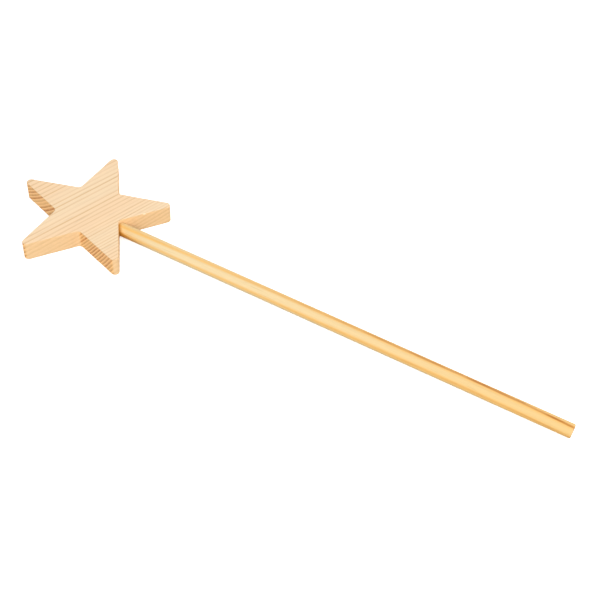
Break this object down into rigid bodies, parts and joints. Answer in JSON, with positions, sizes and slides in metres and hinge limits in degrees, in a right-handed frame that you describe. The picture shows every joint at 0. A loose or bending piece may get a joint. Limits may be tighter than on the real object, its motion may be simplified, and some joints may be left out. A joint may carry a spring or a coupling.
{
  "type": "toy magic wand",
  "caption": "Flat wooden star with rounded tips glued on the end of a plain round dowel: a hand-held wand for pretend play.",
  "frame": {"origin": "centre of the star on its back face, which is the face that the wand lies on", "axes": "+X from the star's centre along the dowel to its free end, +Z out of the star's front face, +Y across the star"},
  "size_m": [0.3486, 0.0888, 0.012],
  "materials": {
    "star_wood": "bare softwood, sanded",
    "dowel_wood": "bare wood, sanded",
    "glue": "dried wood glue"
  },
  "bodies": {
    "root": {"star": "star_wood", "dowel": "dowel_wood", "glue_film": "glue"}
  },
  "joints": []
}
